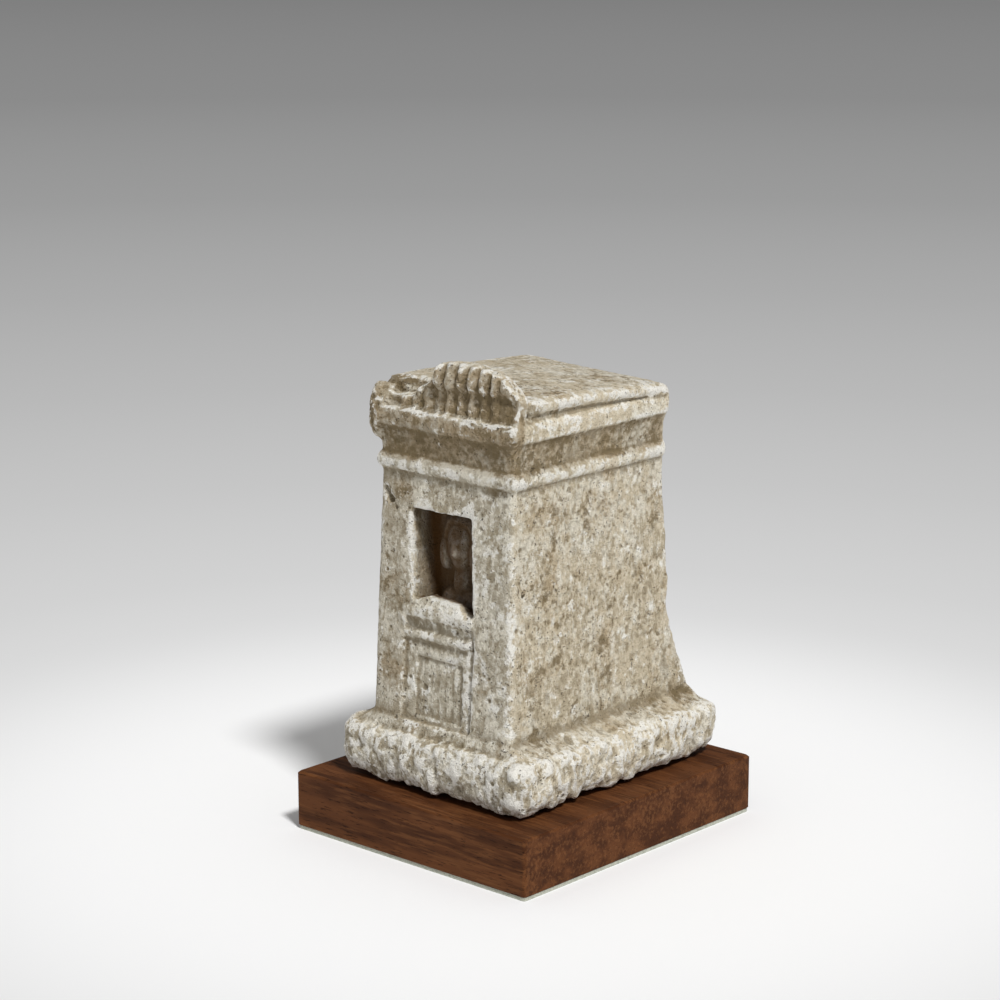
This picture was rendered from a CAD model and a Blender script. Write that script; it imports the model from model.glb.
# %% [markdown]
# # A votive shrine of weathered limestone on a wooden display base
# The real thing is one carved block: a rough socle, walls that lean inwards, a cavetto cornice, a
# row of rearing cobras on the roof and a small bust in a niche above a low screen wall. It is pinned
# above a slab of stained wood. The frame holds every piece at its real size, and this script gives
# each one its surface.

# %% Load the frame
from collections import namedtuple

import bpy
import numpy as np
from mathutils import Matrix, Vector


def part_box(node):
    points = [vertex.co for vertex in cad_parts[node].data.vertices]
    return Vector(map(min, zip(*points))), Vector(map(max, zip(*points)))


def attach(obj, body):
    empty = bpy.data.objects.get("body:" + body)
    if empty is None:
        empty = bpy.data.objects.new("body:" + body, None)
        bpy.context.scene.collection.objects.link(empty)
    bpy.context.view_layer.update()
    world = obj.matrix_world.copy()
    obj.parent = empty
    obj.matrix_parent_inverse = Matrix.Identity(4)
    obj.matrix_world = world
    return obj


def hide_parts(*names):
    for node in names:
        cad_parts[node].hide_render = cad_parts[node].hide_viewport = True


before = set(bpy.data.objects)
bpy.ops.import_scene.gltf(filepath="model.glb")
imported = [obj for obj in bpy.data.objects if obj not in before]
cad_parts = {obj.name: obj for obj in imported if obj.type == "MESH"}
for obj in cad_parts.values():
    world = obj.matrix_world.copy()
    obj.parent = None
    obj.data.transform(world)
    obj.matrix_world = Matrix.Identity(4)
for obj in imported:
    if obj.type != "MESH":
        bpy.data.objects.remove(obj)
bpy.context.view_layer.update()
MM = 0.001
stone_low, stone_high = [np.array(corner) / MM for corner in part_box("naos_block")]
wood_low, wood_high = [np.array(corner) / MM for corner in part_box("wood_base")]
stone_x = (stone_low[0] + stone_high[0]) / 2
print("stone from", stone_low.round(1), "to", stone_high.round(1), "mm")

# %% [markdown]
# ## Camera
# The photograph was taken from the front right and a little above, with a long lens. The corners of
# the base and the cornice fix its place and focal length. A target and a roll could aim the camera
# too, but three axes in a matrix say exactly where it looks, so we write those.

# %% Camera
CAMERA_AZIMUTH = 42.19
CAMERA_ELEVATION = 12.97
CAMERA_PLACE = (0.7908, -0.8896, 0.4226)
CAMERA_LENS = 99.68
SENSOR_WIDTH = 36.0


def camera_axes(azimuth, elevation):
    """Right, up and backward directions of a level camera that looks at a turn and a tilt."""
    turn, tilt = np.radians(azimuth), np.radians(elevation)
    right = np.array([np.cos(turn), np.sin(turn), 0.0])
    back = np.array([np.sin(turn) * np.cos(tilt), -np.cos(turn) * np.cos(tilt), np.sin(tilt)])
    return right, np.cross(back, right), back


camera = bpy.data.objects.new("camera", bpy.data.cameras.new("camera"))
camera.data.lens = CAMERA_LENS
camera.data.sensor_width = SENSOR_WIDTH
axes = np.array(camera_axes(CAMERA_AZIMUTH, CAMERA_ELEVATION)).T
camera.matrix_world = Matrix([[*axes[row], CAMERA_PLACE[row]] for row in range(3)] + [[0, 0, 0, 1]])
bpy.context.scene.collection.objects.link(camera)
bpy.context.scene.camera = camera
bpy.context.scene.view_settings.view_transform = "Standard"
print("camera at", CAMERA_PLACE, "with a lens of", CAMERA_LENS, "mm")

# %% [markdown]
# ## Random fields in space
# Weathering has no pattern that repeats, but it isn't white noise either: neighbours are alike.
# Displacement textures could give that, but a field of our own can also be read as plain numbers,
# which later decide where arrises wear and chips lie. It is a block of random numbers with a soft
# blend between them. It works on whole arrays of points and is seeded, so the stone is always the
# same.

# %% Smooth step and smooth fields
TABLE_SIDE = 48
TABLE_SEED = 20
FIELD_LAYER_SHIFT = 11.37
OCTAVE_GAIN = 0.55
table_random = np.random.default_rng(TABLE_SEED)
random_values = table_random.random((TABLE_SIDE, TABLE_SIDE, TABLE_SIDE)) * 2 - 1
random_places = table_random.random((TABLE_SIDE, TABLE_SIDE, TABLE_SIDE, 3))


def step(value, low, high):
    """Smooth step: 0 below low, 1 above high, and an S-curve between. It falls if low is higher."""
    share = np.clip((value - low) / (high - low), 0, 1)
    return share * share * (3 - 2 * share)


def between(value, low, high, soft):
    """1 between low and high, fading to 0 over the soft distance at each end."""
    return step(value, low - soft, low) * step(value, high + soft, high)


def field(points, size, layer=0):
    """Random value between -1 and 1 that changes over about one size: the eight random numbers at
    the corners of each point's cube are blended by a smooth step along each side."""
    place = points / size + FIELD_LAYER_SHIFT * layer
    cell = np.floor(place).astype(int)
    share = step(place - cell, 0, 1)
    total = np.zeros(len(points))
    for corner in np.ndindex(2, 2, 2):
        weight = np.prod(np.where(corner, share, 1 - share), axis=1)
        total += weight * random_values[tuple(((cell + corner) % TABLE_SIDE).T)]
    return total


def rough(points, size, octaves, layer):
    """Sum of smooth fields, each half the size and about half the height of the one before."""
    layers = range(octaves)
    return sum(OCTAVE_GAIN ** k * field(points, size / 2 ** k, layer + k) for k in layers)


print("a table of", random_values.size, "random values")

# %% [markdown]
# ## Pits
# Limestone loses small shells and soft grains, which leaves round pits. A noise that is cut off at a
# level gives blobs of every shape. Bowls round scattered centres look more like the real ones, and
# their sizes can be set. Each point looks for the deepest bowl in the 27 cubes round it.

# %% Pits
PIT_LAYER_SHIFT = 5.21
KEPT_SHIFT = 7


def pits(points, spacing, smallest, largest, wanted, layer):
    """Depth of bowls round scattered centres: one centre in each cube of the spacing, kept for a
    wanted share of the cubes, and each bowl as deep as its radius times a parabola."""
    place = points / spacing + PIT_LAYER_SHIFT * layer
    cell = np.floor(place).astype(int)
    depth = np.zeros(len(points))
    for offset in np.ndindex(3, 3, 3):
        near = cell + np.array(offset) - 1
        chosen = random_places[tuple((near % TABLE_SIDE).T)]
        kept = random_values[tuple(((near + KEPT_SHIFT) % TABLE_SIDE).T)] < 2 * wanted - 1
        radius = smallest + (largest - smallest) * chosen[:, 0] ** 2
        distance = np.linalg.norm((near + chosen - place) * spacing, axis=1)
        depth = np.maximum(depth, kept * radius * np.clip(1 - (distance / radius) ** 2, 0, 1))
    return depth


print("pits from a table of", len(random_places.reshape(-1, 3)), "centres")

# %% [markdown]
# ## The block as an even skin
# The frame's solid has the right form but few faces. Subdivision would round its sharp joins and
# leave its long triangles. Instead a copy of it is merged and rebuilt by a voxel remesh, so that
# socle, walls, niche, bust and frieze melt into one skin of even squares, as they are one stone.

# %% Even skin
VOXEL = 0.72 * MM
MERGE_DIGITS = 7


def finished_mesh(piece):
    """The piece's mesh with its modifiers worked in."""
    evaluated = piece.evaluated_get(bpy.context.evaluated_depsgraph_get())
    return bpy.data.meshes.new_from_object(evaluated)


def work_in(piece):
    """Replaces the piece's mesh by the finished one and clears its modifiers."""
    mesh = finished_mesh(piece)
    piece.modifiers.clear()
    piece.data = mesh


def merged_copy(node, name):
    """A copy of a frame node whose loose triangles share their corners."""
    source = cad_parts[node].data
    corners = np.zeros(len(source.vertices) * 3)
    source.vertices.foreach_get("co", corners)
    used = np.zeros(len(source.loops), int)
    source.loops.foreach_get("vertex_index", used)
    rounded = corners.reshape(-1, 3).round(MERGE_DIGITS)
    places, same = np.unique(rounded, axis=0, return_inverse=True)
    triangles = same.reshape(-1)[used].reshape(-1, 3)
    a, b, c = triangles.T
    triangles = triangles[(a != b) & (b != c) & (a != c)]
    mesh = bpy.data.meshes.new(name)
    mesh.from_pydata(places, [], triangles)
    piece = bpy.data.objects.new(name, mesh)
    bpy.context.scene.collection.objects.link(piece)
    return piece


stone = merged_copy("naos_block", "carved_shrine")
remesh = stone.modifiers.new("even skin", "REMESH")
remesh.mode = "VOXEL"
remesh.voxel_size = VOXEL
work_in(stone)
print("even skin of", len(stone.data.vertices), "points")

# %% [markdown]
# ## The skin as arrays
# Sculpting by hand can't be repeated exactly, and a stack of modifiers can't ask where an arris is.
# So from here on the skin is a cloud of points, their normals and a list of edges. Relaxing it
# wears it down, and the distance to its relaxed copy tells crests from grooves.

# %% Points, edges and normals of a skin


def skin_points(mesh):
    """The points in millimetres."""
    flat = np.zeros(len(mesh.vertices) * 3)
    mesh.vertices.foreach_get("co", flat)
    return flat.reshape(-1, 3) / MM


def skin_normals(mesh):
    """Unit directions out of the skin at its points."""
    flat = np.zeros(len(mesh.vertices) * 3)
    mesh.vertex_normals.foreach_get("vector", flat)
    return flat.reshape(-1, 3)


def skin_edges(mesh):
    """Pairs of neighbouring points."""
    flat = np.zeros(len(mesh.edges) * 2, int)
    mesh.edges.foreach_get("vertices", flat)
    return flat.reshape(-1, 2)


def set_points(mesh, points):
    """Puts points in millimetres back into the mesh."""
    mesh.vertices.foreach_set("co", (points * MM).ravel())
    mesh.update()


def relaxed(values, edges, rounds):
    """Each point's value becomes the mean of its own and its neighbours' mean, a number of times."""
    ends = np.concatenate([edges[:, 0], edges[:, 1]])
    others = np.concatenate([edges[:, 1], edges[:, 0]])
    count = np.maximum(np.bincount(ends, minlength=len(values)), 1)
    for _ in range(rounds):
        sums = [np.bincount(ends, column[others], len(values)) for column in values.T]
        values = (values + np.array(sums).T / count[:, None]) / 2
    return values


def bulge(mesh, rounds):
    """How far each point stands out from its relaxed surroundings, in millimetres: positive on
    arrises and crests, negative in grooves and pits."""
    points = skin_points(mesh)
    away = points - relaxed(points, skin_edges(mesh), rounds)
    return np.sum(away * skin_normals(mesh), axis=1)


print("neighbours:", len(skin_edges(stone.data)), "edges")

# %% [markdown]
# ## Where each kind of wear lies
# On the real block every part has its own surface: the socle is pecked, the walls were smoothed,
# the back was never dressed and the left end of the cornice is broken off. Painted masks would have
# to be redrawn after each change of form. Here a part is a product of fades in X, Y and Z, in
# millimetres: the first number of a pair is where it doesn't hold yet, the second where it does.

# %% Heights and depths of the block's parts
WALL_FOOT = stone_low[2] + 27.0
WALL_TOP = stone_low[2] + 135.0
CAVETTO_FOOT = stone_low[2] + 143.8
LIP_FOOT = stone_low[2] + 157.2
ROOF_FOOT = stone_low[2] + 170.0
SCREEN_MARGIN = 3.0
PANEL_FOOT = WALL_FOOT + 3.0 + SCREEN_MARGIN
PANEL_TOP = WALL_FOOT + 30.0 - SCREEN_MARGIN
NICHE_FOOT = WALL_FOOT + 47.0
NICHE_TOP = WALL_FOOT + 94.5
BUST_FOOT = NICHE_FOOT + 8.0
NICHE_HALF = 20.0
PANEL_HALF = 12.0
BUST_HALF = 13.0
SIDE_WALL = (36.0, 39.0)
BROKEN_SIDE = (33.0, 38.0)
FRONT_WALL = (-42.0, -48.0)
BROW_FACE = (-46.0, -49.0)
PANEL_FACE = (-50.0, -52.0)
NICHE_MOUTH = (-51.0, -49.0)
NICHE_BACK = (-33.0, -37.0)
BUST_FRONT = (-50.0, -47.0)
FRIEZE_BACK = (-36.0, -40.0)
BROKEN_BACK = (-38.0, -44.0)
BACK_WALL = (46.0, 52.0)
MOULDED_CORNICE = (49.0, 47.0)
SOCLE_FADE = (WALL_FOOT + 1, WALL_FOOT - 5)
ROOF_FADE = (ROOF_FOOT, ROOF_FOOT + 4)
FRIEZE_FADE = (LIP_FOOT + 7.5, LIP_FOOT + 9.5)
BROW_FADE = (CAVETTO_FOOT, CAVETTO_FOOT + 2)
BROKEN_FADE = (WALL_TOP + 8, WALL_TOP + 18)
print("walls from", round(WALL_FOOT, 1), "to", round(WALL_TOP, 1), "mm")

# %% The parts as shares


def regions(points):
    """How much each named part of the block holds each point, from 0 to 1."""
    x, y, z = points.T
    centred = x - stone_x
    walls = between(z, WALL_FOOT, WALL_TOP, soft=3)
    in_niche = step(y, *NICHE_BACK)
    panel = between(centred, -PANEL_HALF, PANEL_HALF, soft=0.6) * step(y, *PANEL_FACE)
    niche = between(centred, -NICHE_HALF, NICHE_HALF, soft=1) * step(y, *NICHE_MOUTH) * in_niche
    bust = between(centred, -BUST_HALF, BUST_HALF, soft=2) * step(y, *BUST_FRONT) * in_niche
    broken = step(-centred, *BROKEN_SIDE) * step(y, *BROKEN_BACK)
    return {
        "everywhere": np.ones(len(points)),
        "socle": step(z, *SOCLE_FADE),
        "right": step(centred, *SIDE_WALL) * walls,
        "left": step(-centred, *SIDE_WALL) * walls,
        "back": step(y, *BACK_WALL) * between(z, WALL_FOOT, WALL_TOP, soft=6),
        "jambs": step(y, *FRONT_WALL) * between(z, WALL_FOOT + 2, WALL_TOP, soft=3),
        "panel": panel * between(z, PANEL_FOOT, PANEL_TOP, soft=2),
        "niche": niche * between(z, NICHE_FOOT - 2, NICHE_TOP + 1, soft=1),
        "bust": bust * between(z, BUST_FOOT, NICHE_TOP, soft=2),
        "cavetto": between(z, CAVETTO_FOOT, LIP_FOOT, soft=1.5) * step(y, *MOULDED_CORNICE),
        "brow": step(y, *BROW_FACE) * step(z, *BROW_FADE),
        "frieze": step(y, *FRIEZE_BACK) * step(z, *FRIEZE_FADE),
        "broken": broken * step(z, *BROKEN_FADE),
        "roof": step(z, *ROOF_FADE),
    }


place = regions(skin_points(stone.data))
print("points of each part:", {name: int(share.sum()) for name, share in place.items()})

# %% [markdown]
# ## Worn arrises
# Soft limestone loses its arrises first. A bevel would take the same amount from each edge. Here the
# skin goes part of the way to its relaxed form, further where it stands out and where a slow field
# says so, so that sharp and rounded stretches follow each other. The bust is nearly left alone.

# %% Wear the arrises down
SOFTENING_ROUNDS = 2
EROSION_ROUNDS = 16
BROAD_ROUNDS = 12
WEAR_PATCH = 12
WEAR_PATCH_BAND = (-0.3, 0.8)
WEAR_BULGE = (0.05, 0.5)
ARRIS_LOSS = 0.6
SOCLE_LOSS = 0.3
FRIEZE_LOSS = 0.2
BUST_SPARED = 0.9

points = skin_points(stone.data)
edges = skin_edges(stone.data)
softened = relaxed(points, edges, SOFTENING_ROUNDS)
eroded = relaxed(softened, edges, EROSION_ROUNDS)
loss = ARRIS_LOSS * step(rough(points, WEAR_PATCH, octaves=3, layer=2), *WEAR_PATCH_BAND)
loss = loss * step(bulge(stone.data, BROAD_ROUNDS), *WEAR_BULGE)
loss = np.clip(loss + SOCLE_LOSS * place["socle"] + FRIEZE_LOSS * place["frieze"], 0, 1)
loss = loss * (1 - BUST_SPARED * place["bust"])
worn_away = loss[:, None] * (eroded - softened)
points = softened + worn_away
set_points(stone.data, points)
deepest = np.linalg.norm(worn_away, axis=1).max()
print("arrises worn down by up to", round(float(deepest), 2), "mm")

# %% [markdown]
# ## Relief: grain, pecking, breaks and cavities
# A point chisel left the socle and the back rough, water opened cavities near the upper left corner
# of the front, and the screen's panel keeps faint upright ribs. A bump in the material would show
# none of it in the outline. So the skin really moves in and out along its normals, by one field for
# each kind of roughness. The bust gets very little of it, so that it still reads.

# %% Relief of the surface
# Part, height in mm, stretch of the field along X, Y and Z, size in mm, octaves and layer.
ROUGHNESSES = [
    ("everywhere", 0.12, (1, 1, 1), 1.9, 2, 5),
    ("everywhere", 0.15, (1, 1, 1), 11, 3, 9),
    ("socle", 1.1, (1, 1, 0.7), 5.2, 3, 14),
    ("frieze", 0.5, (1, 1, 1), 4, 3, 29),
    ("broken", 1.2, (1, 1, 1), 6, 3, 33),
    ("back", 1.5, (0.6, 1, 1), 12, 3, 17),
]
# Distance from the block's middle, height and radius of each cavity, in mm.
FRONT_HOLLOWS = [(-36.4, 157.6, 1.7), (-34.4, 155.2, 2.3), (-32.4, 152.8, 2.7), (-29.2, 149.4, 1.5)]
HOLLOW_RAGGEDNESS = 0.9
HOLLOW_RAG_SIZE = 2.4
HOLLOW_FLOOR = 0.3
PANEL_RIB_PITCH = 4.3
PANEL_RIB_DEPTH = 0.12
PANEL_RIB_BAND = (-1, 0.2)


def hollows(points):
    """Depth of the few large cavities in the front wall's upper left: ragged holes with soft rims,
    each at full depth within a share of its radius."""
    depth = np.zeros(len(points))
    for x, z, radius in FRONT_HOLLOWS:
        distance = np.hypot(points[:, 0] - stone_x - x, points[:, 2] - z)
        distance = distance + HOLLOW_RAGGEDNESS * rough(points, HOLLOW_RAG_SIZE, octaves=2, layer=41)
        depth = np.maximum(depth, radius * step(distance, radius, HOLLOW_FLOOR * radius))
    return depth * step(points[:, 1], *BROW_FACE)


def panel_ribs(points):
    """Height of the upright ribs: a cosine across the panel with its tops cut flat."""
    wave = np.cos((points[:, 0] - stone_x) * 2 * np.pi / PANEL_RIB_PITCH)
    return PANEL_RIB_DEPTH * step(wave, *PANEL_RIB_BAND)


normals = skin_normals(stone.data)
move = np.zeros(len(points))
for part, height, stretch, size, octaves, layer in ROUGHNESSES:
    move = move + height * place[part] * rough(points * stretch, size, octaves, layer)
move = move - hollows(points) + place["panel"] * panel_ribs(points)
print("relief between", round(float(move.min()), 2), "and", round(float(move.max()), 2), "mm")

# %% [markdown]
# ## Pits and chips
# Pits are deep on the front, the left side and the socle, and shallow elsewhere. A few wide dishes
# lie in zones of their own. Chips are bites out of the arrises. Cutting each one out with a solid
# would take hours of booleans. All of them only take stone away, so their depths are subtracted.

# %% Pit and chip the surface
COARSE_PITS = {"spacing": 5.2, "smallest": 0.6, "largest": 1.7, "wanted": 0.34, "layer": 1}
FINE_PITS = {"spacing": 2.8, "smallest": 0.45, "largest": 0.95, "wanted": 0.42, "layer": 3}
DISHES = {"spacing": 13, "smallest": 1.6, "largest": 3.6, "wanted": 0.22, "layer": 6}
COARSE_DEPTH = 0.8
FINE_DEPTH = 1.1
DISH_DEPTH = 0.5
CHIP_DEPTH = 0.8
DISH_ZONE = 30
DISH_ZONE_BAND = (0.0, 0.5)
CHIP_SIZE = 3.8
CHIP_BAND = (0.3, 0.85)
CHIP_ROUNDS = 8
CHIP_BULGE = (0.04, 0.24)
SHELTERED_PITS = 0.35
BUST_QUIET = 0.88

bare = np.clip(place["jambs"] + place["socle"] + place["left"], 0, 1)
bare = SHELTERED_PITS + (1 - SHELTERED_PITS) * bare
dished = step(rough(points, DISH_ZONE, octaves=1, layer=21), *DISH_ZONE_BAND)
chipped = step(rough(points, CHIP_SIZE, octaves=2, layer=25), *CHIP_BAND)
chipped = chipped * step(bulge(stone.data, CHIP_ROUNDS), *CHIP_BULGE)
move = move - COARSE_DEPTH * bare * pits(points, **COARSE_PITS)
move = move - FINE_DEPTH * bare * pits(points, **FINE_PITS)
move = move - DISH_DEPTH * dished * pits(points, **DISHES) - CHIP_DEPTH * chipped
move = move * (1 - BUST_QUIET * place["bust"])
points = points + move[:, None] * normals
set_points(stone.data, points)
print("surface moved between", round(float(move.min()), 2), "and", round(float(move.max()), 2), "mm")

# %% [markdown]
# ## Thin the skin where it is plain
# The voxels are equally small everywhere, which wastes triangles on the walls. A coarser voxel would
# lose the face and the cobras. Decimate joins triangles where the surface is nearly flat and keeps
# the pits, cobras and face, until few enough are left for a piece.

# %% Thin the skin
MOST_TRIANGLES = 192_000

triangle_count = sum(len(face.vertices) - 2 for face in stone.data.polygons)
thin = stone.modifiers.new("thin", "DECIMATE")
thin.ratio = min(1.0, MOST_TRIANGLES / triangle_count)
work_in(stone)
stone.data.name = "carved_shrine"
stone.data.polygons.foreach_set("use_smooth", np.ones(len(stone.data.polygons), bool))
print(triangle_count, "triangles thinned to", len(stone.data.polygons))

# %% [markdown]
# ## What the colour needs to know
# On the real block the arrises and crests are rubbed chalk-white, the hollows keep brown soil, and
# the roof and the cavetto are stained by what lay on them. Blender's pointiness could tell crests,
# but it doesn't know soil and sides. So all four are worked out here and stored at the points:
# crest, soil, dim (how deep in the niche) and front (how much a point faces forwards).

# %% Store crest, soil, dim and front at the points
SHARP_CREST = 0.3
SHARP_ROUNDS = 3
SHARP_BULGE = (-0.15, 0.2)
BROAD_CREST = 0.7
BROAD_BULGE = (-0.4, 0.85)
SOCLE_CREST = 0.12
NICHE_UNRUBBED = 0.5
LOOKS_UP = (0.5, 0.9)
LOOKS_RIGHT = (0.4, 0.9)
LOOKS_FORWARDS = (0.2, 0.8)
# The soil in SOIL lies on faces that look any way. The roof's lies on faces that look up, and the
# frieze's and the brow's on faces that don't.
SOIL = {"cavetto": 0.75, "broken": 1.0, "right": 0.25, "back": 0.3}
ROOF_SOIL = 0.22
FOOT_SOIL = 0.3
FRIEZE_SOIL = 0.7
FRIEZE_FACES = (0.7, 0.2)
BROW_SOIL = 0.95
BROW_FACES = (0.6, 0.2)
LEFT_JAMB_SOIL = 0.45
LEFT_JAMB = (16.0, 24.0)
LIT_REVEAL = (-38.0, -47.0)
REVEAL_LIGHT = 0.7
BUST_LIGHT = 0.12


def store(mesh, name, values):
    """A named number at each point, which a material reads with an Attribute node."""
    layer = mesh.attributes.new(name, "FLOAT", "POINT")
    layer.data.foreach_set("value", values.astype(np.float32))


points = skin_points(stone.data)
place = regions(points)
facing = skin_normals(stone.data)
upward = facing[:, 2]
crest = SHARP_CREST * step(bulge(stone.data, SHARP_ROUNDS), *SHARP_BULGE)
crest = crest + BROAD_CREST * step(bulge(stone.data, BROAD_ROUNDS), *BROAD_BULGE)
crest = crest * (1 - NICHE_UNRUBBED * place["niche"]) + SOCLE_CREST * place["socle"]
soil = sum(amount * place[part] for part, amount in SOIL.items())
soil = soil + ROOF_SOIL * place["roof"] * step(upward, *LOOKS_UP)
soil = soil + FOOT_SOIL * between(points[:, 2], WALL_FOOT - 2, WALL_FOOT + 1, soft=2)
soil = soil + FRIEZE_SOIL * place["frieze"] * step(upward, *FRIEZE_FACES)
soil = soil + BROW_SOIL * place["brow"] * step(upward, *BROW_FACES)
soil = soil + LEFT_JAMB_SOIL * place["jambs"] * step(stone_x - points[:, 0], *LEFT_JAMB)
reveal = step(facing[:, 0], *LOOKS_RIGHT) * step(points[:, 1], *LIT_REVEAL)
dim = place["niche"] * (1 - REVEAL_LIGHT * reveal) * (1 - BUST_LIGHT * place["bust"])
store(stone.data, "crest", crest)
store(stone.data, "soil", np.clip(soil, 0, 1))
store(stone.data, "dim", dim)
store(stone.data, "front", step(-facing[:, 1], *LOOKS_FORWARDS))
print("mean crest", round(float(crest.mean()), 2), "and mean soil", round(float(soil.mean()), 2))

# %% [markdown]
# ## A small language for materials
# Node trees are hard to read as lists of links. The first class wraps one output socket, so that
# sums and products of values are written as sums and products. The second makes any other node in
# one call, and names the few that come up in every finish here.

# %% Values with arithmetic


class Value:
    """One output of a node tree, with arithmetic that adds Math nodes."""

    def __init__(self, finish, socket):
        self.finish = finish
        self.socket = socket

    def math(self, operation, first, second):
        return self.finish.node("Math", {0: first, 1: second}, operation=operation)

    def __add__(self, other):
        return self.math("ADD", self, other)

    def __sub__(self, other):
        return self.math("SUBTRACT", self, other)

    def __rsub__(self, other):
        return self.math("SUBTRACT", other, self)

    def __mul__(self, other):
        return self.math("MULTIPLY", self, other)

    __radd__ = __add__
    __rmul__ = __mul__

    def band(self, low, high):
        """0 at low, 1 at high, with an S-curve between."""
        ends = {"Value": self, "From Min": low, "From Max": high}
        return self.finish.node("MapRange", ends, interpolation_type="SMOOTHSTEP")


print("values add, subtract, multiply and fade")

# %% Finishes and coats
# A coat's colour, its greatest share, and the two values between which it fades in.
Coat = namedtuple("Coat", "colour share low high")


class Finish:
    """A material or a world under construction, whose node tree starts empty."""

    def __init__(self, owner):
        self.owner = owner
        self.owner.use_nodes = True
        self.tree = self.owner.node_tree
        self.tree.nodes.clear()

    def node(self, kind, inputs=None, out=0, **settings):
        """Adds a node: its settings first, then the values or links of its sockets."""
        node = self.tree.nodes.new("ShaderNode" + kind)
        for name, value in settings.items():
            setattr(node, name, value)
        for name, value in (inputs or {}).items():
            if isinstance(value, Value):
                self.tree.links.new(value.socket, node.inputs[name])
            else:
                node.inputs[name].default_value = value
        return Value(self, node.outputs[out]) if node.outputs else None

    def place(self, stretch=(1, 1, 1), turn=(0, 0, 0)):
        """Object coordinates, stretched or turned for a grain."""
        coordinates = self.node("TexCoord", out="Object")
        return self.node("Mapping", {"Vector": coordinates, "Scale": stretch, "Rotation": turn})

    def noise(self, size_mm, detail=4.0, at=None, roughness=0.55, shift=0.0):
        """Noise whose features are about this size. A shift keeps two such noises apart."""
        if at is None:
            at = self.node("Mapping", {"Vector": self.node("TexCoord", out="Object"),
                                       "Location": (shift, shift, shift)})
        settings = {"Vector": at, "Scale": 1 / (size_mm * MM), "Detail": detail, "Roughness": roughness}
        return self.node("TexNoise", settings)

    def cells(self, size_mm):
        """Distance to the nearest of scattered centres, in shares of the size."""
        return self.node("TexVoronoi", {"Vector": self.place(), "Scale": 1 / (size_mm * MM)})

    def attribute(self, name):
        return self.node("Attribute", out="Fac", attribute_name=name)

    def mix(self, share, first, second):
        """Colour that goes from the first to the second as the share goes from 0 to 1."""
        colours = {0: share, 6: first, 7: second}
        return self.node("Mix", colours, out=2, data_type="RGBA")

    def lay(self, coat, ground, value):
        """The ground with a coat over it, which fades in as the value crosses the coat's band."""
        return self.mix(value.band(coat.low, coat.high) * coat.share, ground, coat.colour)

    def larger(self, first, second):
        return self.node("Math", {0: first, 1: second}, operation="MAXIMUM")

    def bump(self, height, distance_mm, strength=1.0):
        settings = {"Height": height, "Distance": distance_mm * MM, "Strength": strength}
        return self.node("Bump", settings)

    def surface(self, **inputs):
        """Principled shader with these inputs, linked to the output. Underscores stand for spaces."""
        sockets = {name.replace("_", " "): value for name, value in inputs.items()}
        shader = self.node("BsdfPrincipled", sockets)
        self.node("OutputMaterial", {"Surface": shader})
        return self.owner


def new_finish(name):
    return Finish(bpy.data.materials.new(name))


def colour(red, green, blue):
    return (red, green, blue, 1.0)


def dress(node, material):
    """Gives a frame node this material alone."""
    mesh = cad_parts[node].data
    mesh.materials.clear()
    mesh.materials.append(material)


print("material language ready")

# %% [markdown]
# ## Weathered limestone
# The block is beige-grey, greyer on its front. Chalk-white shows where it is rubbed and in patches,
# ochre and brown soil clings in hollows and on the cornice, and fine dark specks lie everywhere. A
# picture wrapped round it would show seams and stretch on the relief. Noises in space run through
# the stone like its own grain, so the colours are coats that are laid over each other by them.

# %% Colours and coats of the stone
STONE_WARM = colour(0.71, 0.62, 0.465)
STONE_GREY = colour(0.47, 0.43, 0.345)
STONE_DUN = colour(0.38, 0.32, 0.22)
CHALK = colour(0.88, 0.86, 0.80)
SOILED = colour(0.25, 0.195, 0.125)
OLIVE_BROWN = colour(0.165, 0.122, 0.062)
NICHE_BROWN = colour(0.079, 0.036, 0.010)
PALE_CLOUDS = Coat(colour(0.80, 0.755, 0.64), share=0.9, low=0.66, high=0.76)
OCHRE_STAINS = Coat(colour(0.34, 0.235, 0.115), share=0.5, low=0.52, high=0.66)
GROOVE_SOIL = Coat(OLIVE_BROWN, share=0.6, low=0.0, high=0.3)
SPECKS = Coat(colour(0.06, 0.045, 0.028), share=0.85, low=0.785, high=0.845)
GREY_SHARE = 0.9
SOIL_SHARE = 0.46
SPOT_SHARE = 0.72
CHALK_SHARE = 0.88
SHADE_SHARE = 0.30
NICHE_SHARE = 0.985
GROOVE_CREST = 0.36
STREAKS = (1.0, 1.0, 0.62)
STONE_GLOSS = 0.12
print("stone between", STONE_DUN[:3], "and", CHALK[:3])

# %% Limestone


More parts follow.
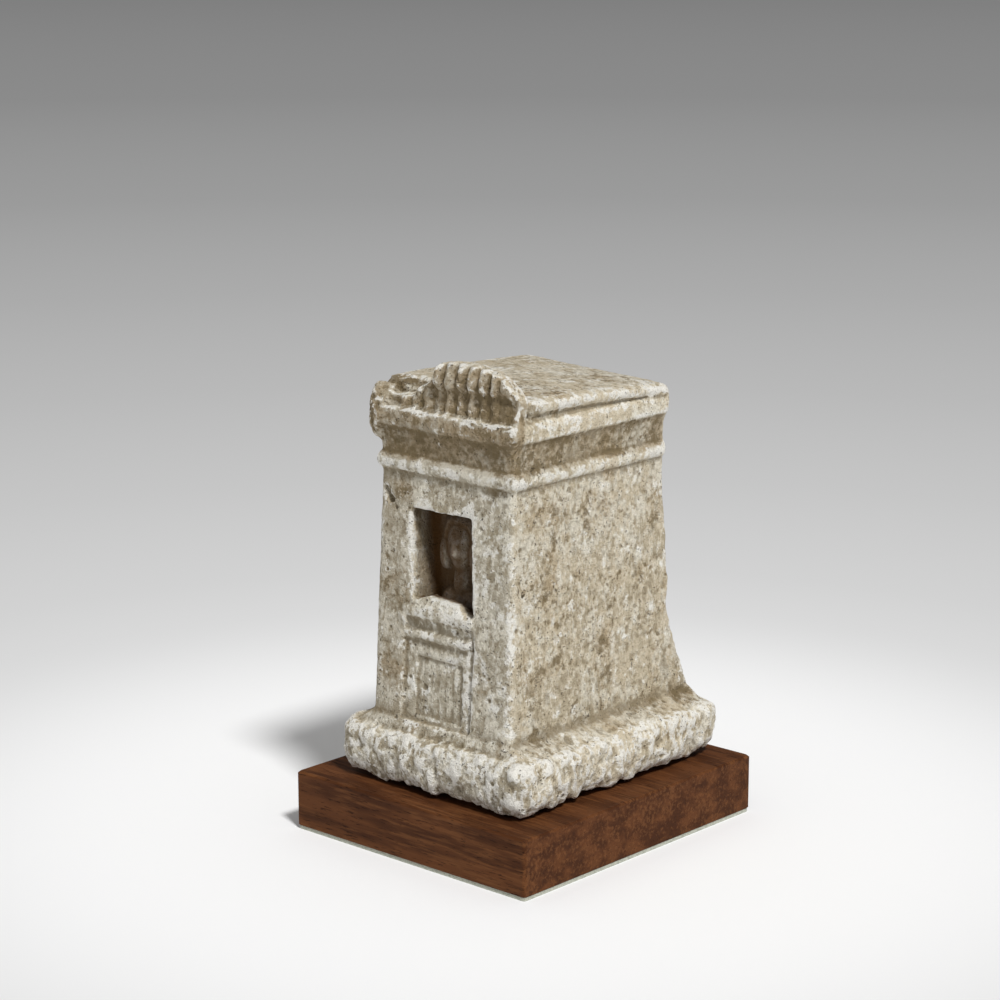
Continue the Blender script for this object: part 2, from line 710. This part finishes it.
def limestone():
    """Coats from the ground up: two grounds, a fine mottle, pale clouds, soil, ochre, dark spots,
    chalk and specks. Each share is a band of noise, pushed by what the points store."""
    f = new_finish("weathered_limestone")
    crest, soil = f.attribute("crest"), f.attribute("soil")
    front, dim = f.attribute("front"), f.attribute("dim")
    mottle = f.noise(5.0, detail=9, roughness=0.80, at=f.place(STREAKS))
    patches = f.noise(9.0, detail=9, roughness=0.76, shift=0.31)
    stains = f.noise(18, detail=9, roughness=0.72, shift=0.72)
    spots = f.noise(5.5, detail=9, roughness=0.84, shift=0.93)
    zone = f.noise(30, detail=5, roughness=0.6, shift=0.66).band(0.42, 0.58)
    grit = f.noise(1.25, detail=3, shift=0.17)
    fine = f.noise(0.8, roughness=0.6, shift=0.41)

    ground = f.mix(front * GREY_SHARE, STONE_WARM, STONE_GREY)
    worn_off = (mottle * 0.7 + stains * 0.3).band(0.40, 0.54)
    ground = f.mix((1 - worn_off) * (zone * 0.5 + 0.3), ground, STONE_DUN)
    ground = f.lay(PALE_CLOUDS, ground, mottle + f.noise(26) * 0.4)
    ground = f.mix(soil * SOIL_SHARE, ground, SOILED)
    ground = f.lay(OCHRE_STAINS, ground, stains + soil * 0.16 - crest * 0.10)
    dark = spots * 0.8 + stains * 0.5 + zone * 0.04 + soil * 0.10 - crest * 0.12
    dark = dark.band(0.715, 0.765)
    ground = f.mix(dark * SPOT_SHARE, ground, OLIVE_BROWN)
    ground = f.lay(GROOVE_SOIL, ground, GROOVE_CREST - crest)
    flecks = (mottle * 0.4 + patches * 0.6 + crest * 0.20 - soil * 0.08).band(0.585, 0.65)
    rubbed = (patches + crest * 0.30 - soil * 0.10).band(0.66, 0.73)
    chalky = f.larger(flecks, rubbed)
    ground = f.mix(chalky * CHALK_SHARE, ground, CHALK)
    ground = f.lay(SPECKS, ground, grit + f.noise(8, detail=2, shift=0.5) * 0.3)
    shade = 1 - (fine * 0.5 + grit * 0.5).band(0.34, 0.56)
    ground = f.mix(shade * SHADE_SHARE, ground, OLIVE_BROWN)
    ground = f.mix(dim * NICHE_SHARE, ground, NICHE_BROWN)

    holes = 1 - f.cells(1.7).band(0.10, 0.34)
    holes = holes * 0.4 * f.noise(7, detail=2).band(0.45, 0.6)
    height = fine * 0.5 + grit * 0.6 + mottle * 0.5 - holes
    matt = 0.95 - chalky * 0.06 - dark * 0.05
    return f.surface(Base_Color=ground, Roughness=matt, Specular_IOR_Level=STONE_GLOSS,
                     Normal=f.bump(height, distance_mm=1.5, strength=0.9))


stone.data.materials.clear()
stone.data.materials.append(limestone())
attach(stone, "root")
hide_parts("naos_block")
print("limestone on", stone.name)

# %% [markdown]
# ## Stained hardwood
# The base is a plank with its grain along X. A wave texture gives rings that are too regular. Long
# fibres are noise stretched along the grain, and open pores are much thinner and darker strokes.
# On the right end the rings cross the face at a slant, so their noise lies in a turned frame.

# %% Wood
WOOD_DARK = colour(0.058, 0.019, 0.0062)
WOOD_RED = colour(0.116, 0.041, 0.0135)
PORE = colour(0.020, 0.008, 0.004)
LIGHT_FIBRES = Coat(colour(0.190, 0.076, 0.027), share=0.55, low=0.72, high=0.95)
PORE_SHARE = 0.75
FIBRE_STRETCH = (0.07, 1.0, 1.0)
FIBRE_TURN = (0.0, 0.0, 0.05)
RING_STRETCH = (0.16, 1.0, 1.5)
RING_TURN = (0.55, 0.04, 0.0)
PORE_STRETCH = (0.09, 1.0, 1.0)
PORE_TURN = (0.0, 0.03, 0.05)
WOOD_GLOSS = 0.10


def stained_wood():
    """Rings, fibres and pores, each a noise on coordinates stretched for it."""
    f = new_finish("stained_hardwood")
    fibres = f.noise(1.6, detail=5, at=f.place(FIBRE_STRETCH, FIBRE_TURN))
    rings = f.noise(9, detail=3, at=f.place(RING_STRETCH, RING_TURN), roughness=0.5)
    pores = f.noise(0.55, detail=2, at=f.place(PORE_STRETCH, PORE_TURN)).band(0.60, 0.68)
    tone = f.mix(rings.band(0.38, 0.64), WOOD_DARK, WOOD_RED)
    tone = f.lay(LIGHT_FIBRES, tone, fibres + f.noise(32, detail=3) * 0.5)
    tone = f.mix(pores * PORE_SHARE, tone, PORE)
    matt = 0.54 + fibres * 0.14 + pores * 0.2
    relief = f.bump(fibres * 0.5 - pores * 0.8, distance_mm=0.22, strength=0.6)
    return f.surface(Base_Color=tone, Roughness=matt, Normal=relief, Specular_IOR_Level=WOOD_GLOSS)


dress("wood_base", stained_wood())
print("wood", (wood_high - wood_low).round(1), "mm")

# %% [markdown]
# ## Felt
# Only the felt's edge shows, a pale grey-green line of short fibres under the wood. Hair would be
# lost on it at this size, so two noises that are stretched in crossing directions stand for the
# tangle, in its colour and in its bump.

# %% Felt
FELT_PALE = colour(0.50, 0.51, 0.43)
FELT_DEEP = colour(0.30, 0.315, 0.25)
FELT_FIBRE = 0.7
FELT_SHEEN = 0.3


def felt():
    """Two tones in tangled fibres: fine noise stretched two ways."""
    f = new_finish("grey_green_felt")
    one = f.noise(FELT_FIBRE, at=f.place((1.0, 0.35, 1.0), (0, 0, 0.6)))
    other = f.noise(FELT_FIBRE, at=f.place((0.35, 1.0, 1.0), (0, 0, 0.2)))
    fibres = one * 0.5 + other * 0.5
    tone = f.mix(fibres.band(0.36, 0.62), FELT_DEEP, FELT_PALE)
    return f.surface(Base_Color=tone, Roughness=0.92 + fibres * 0.06, Sheen_Weight=FELT_SHEEN,
                     Normal=f.bump(fibres, distance_mm=0.4))


dress("felt_pad", felt())
print("felt on felt_pad")

# %% [markdown]
# ## Rods, nuts, washers, spacers and resin
# The hardware that pins the stone is hidden, but it is there, so it gets real finishes too. Drawn
# rods have lines along them, and plated nuts and washers have lines across. The spacers are turned
# from matt black plastic, and the glue in the stone is cured to a pale amber. One function serves
# both metals, because only their colours and the direction of their lines differ.

# %% Steel
DRAWN_STEEL = colour(0.56, 0.56, 0.55)
DRAWN_WORN = colour(0.36, 0.35, 0.34)
DRAWN_LINES = (1.0, 1.0, 0.1)
PLATED_STEEL = colour(0.62, 0.61, 0.57)
PLATED_WORN = colour(0.42, 0.40, 0.35)
PLATED_LINES = (1.0, 0.3, 1.0)


def steel(name, tone, worn, stretch):
    """Metal with fine lines along the stretch and duller clouds."""
    f = new_finish(name)
    lines, clouds = f.noise(0.4, detail=3, at=f.place(stretch)), f.noise(4)
    shade = f.mix((lines * 0.6 + clouds * 0.4).band(0.38, 0.6), worn, tone)
    return f.surface(Base_Color=shade, Metallic=1.0, Roughness=0.28 + clouds * 0.2,
                     Normal=f.bump(lines, distance_mm=0.05, strength=0.5))


rod_finish = steel("drawn_steel", DRAWN_STEEL, DRAWN_WORN, DRAWN_LINES)
plated_finish = steel("plated_steel", PLATED_STEEL, PLATED_WORN, PLATED_LINES)
print("steel drawn and plated")

# %% Spacers, resin and the hardware dressed
BLACK_DEEP = colour(0.010, 0.010, 0.009)
BLACK_WORN = colour(0.022, 0.021, 0.019)
TURNED_LINES = (0.2, 0.2, 1.0)
RESIN_DEEP = colour(0.48, 0.41, 0.26)
RESIN_PALE = colour(0.62, 0.56, 0.40)


def matt_black():
    """Turned plastic: rings of fine lines across its height."""
    f = new_finish("matt_black_spacer")
    lines = f.noise(0.3, detail=2, at=f.place(TURNED_LINES))
    tone = f.mix(lines.band(0.4, 0.6), BLACK_DEEP, BLACK_WORN)
    return f.surface(Base_Color=tone, Roughness=0.55 + lines * 0.2, Normal=f.bump(lines, 0.06))


def resin():
    """Cured adhesive with faint clouds and small bubbles."""
    f = new_finish("cured_resin")
    clouds, bubbles = f.noise(3), f.cells(1.2)
    tone = f.mix(clouds.band(0.35, 0.65), RESIN_DEEP, RESIN_PALE)
    return f.surface(Base_Color=tone, Roughness=0.35 + clouds * 0.2, Normal=f.bump(bubbles, 0.1))


hardware = {
    "mounting_rod": rod_finish,
    "nut": plated_finish,
    "washer": plated_finish,
    "spacer": matt_black(),
    "adhesive_plug": resin(),
}
for end in ("front", "rear"):
    for kind, finish in hardware.items():
        dress(f"{end}_{kind}", finish)
print(len(hardware), "kinds of hardware finished at two places")

# %% [markdown]
# ## Floor and background
# The picture's ground is white round the object and runs to mid-grey in the distance. A curved
# backdrop would need to be turned to each camera. A level floor with rings of colour does it from
# every side. Near the object it is a plain surface that takes the shadow. Farther out it shows its
# own colour to the camera, as it would under even light.

# %% Floor
FLOOR_HALF = 40.0
NEAR_FLOOR = 0.15
FAR_FLOOR = 0.38
FLOOR_WHITE = colour(0.94, 0.94, 0.94)
# Distance from the object in metres, and the grey that the floor has there.
FLOOR_STOPS = [(0.2, 0.80), (0.3, 0.738), (0.46, 0.645), (0.71, 0.565), (1.07, 0.485),
               (1.6, 0.407), (2.4, 0.328), (4.0, 0.258), (7.6, 0.216)]
DIRECT_RAYS = ("Is Camera Ray", "Is Glossy Ray", "Is Transmission Ray")


def seen_directly(f):
    """1 for rays from the camera, or by way of a reflection or a clear surface."""
    camera_ray, glossy, clear = [f.node("LightPath", out=ray) for ray in DIRECT_RAYS]
    return f.node("Math", {0: camera_ray + glossy + clear, 1: 1.0}, operation="MINIMUM")


def pale_floor():
    """White ground near the object, then rings of grey that are seen as they are written."""
    f = new_finish("pale_floor")
    flat = f.node("VectorMath", {0: f.place((1.0, 1.0, 0.0))}, out="Value", operation="LENGTH")
    tone = FLOOR_STOPS[0][1]
    for (start, before), (end, after) in zip(FLOOR_STOPS, FLOOR_STOPS[1:]):
        share = f.node("MapRange", {"Value": flat, "From Min": start, "From Max": end})
        tone = tone + share * (after - before)
    shown = f.node("Emission", {"Color": f.node("CombineColor", {0: tone, 1: tone, 2: tone})})
    lit = f.node("BsdfDiffuse", {"Color": FLOOR_WHITE})
    share = flat.band(NEAR_FLOOR, FAR_FLOOR) * seen_directly(f)
    ground = f.node("MixShader", {0: share, 1: lit, 2: shown})
    f.node("OutputMaterial", {"Surface": ground})
    return f.owner


floor_corners = np.array([[-1, -1, 0], [1, -1, 0], [1, 1, 0], [-1, 1, 0]]) * FLOOR_HALF
floor_mesh = bpy.data.meshes.new("floor")
floor_mesh.from_pydata(floor_corners, [], [(0, 1, 2, 3)])
floor = bpy.data.objects.new("floor", floor_mesh)
bpy.context.scene.collection.objects.link(floor)
floor_mesh.materials.append(pale_floor())
print("floor", 2 * FLOOR_HALF, "m wide")

# %% [markdown]
# ## Light
# The shadows under the roll and to the left of the base say that the main light is high, soft and
# from the right front. An area lamp would do, but its light falls off with distance. A wide sun's
# doesn't, and an even sky fills its shadows. Together they light a level surface at about one, so
# that a colour renders as it is written.

# %% Sun
TO_LIGHT = np.array([0.56, -0.23, 0.80])
SKY = 0.32
SUN_SPREAD = np.radians(9)
SUN_POWER = (1 - SKY) * np.pi / TO_LIGHT[2]


def turned_to(direction):
    """Turn matrix whose Z axis points along the direction."""
    back = direction / np.linalg.norm(direction)
    side = np.cross([0, 0, 1], back)
    side = side / np.linalg.norm(side)
    columns = np.array([side, np.cross(back, side), back]).T
    return Matrix([list(map(float, row)) for row in columns]).to_4x4()


sun = bpy.data.objects.new("high_light", bpy.data.lights.new("high_light", "SUN"))
sun.data.energy = SUN_POWER
sun.data.angle = SUN_SPREAD
sun.matrix_world = turned_to(TO_LIGHT)
bpy.context.scene.collection.objects.link(sun)
print("sun of", round(float(SUN_POWER), 2), "from", TO_LIGHT)

# %% Sky
FAR_GREY = colour(0.21, 0.21, 0.21)
WHITE = colour(1.0, 1.0, 1.0)

world = bpy.data.worlds.new("studio")
bpy.context.scene.world = world
f = Finish(world)
sky = f.node("Background", {"Color": WHITE, "Strength": SKY})
distance = f.node("Background", {"Color": FAR_GREY, "Strength": 1.0})
both = f.node("MixShader", {0: seen_directly(f), 1: sky, 2: distance})
f.node("OutputWorld", {"Surface": both})
print("sky of", SKY, "seen as a grey of", FAR_GREY[0])

bpy.context.view_layer.update()
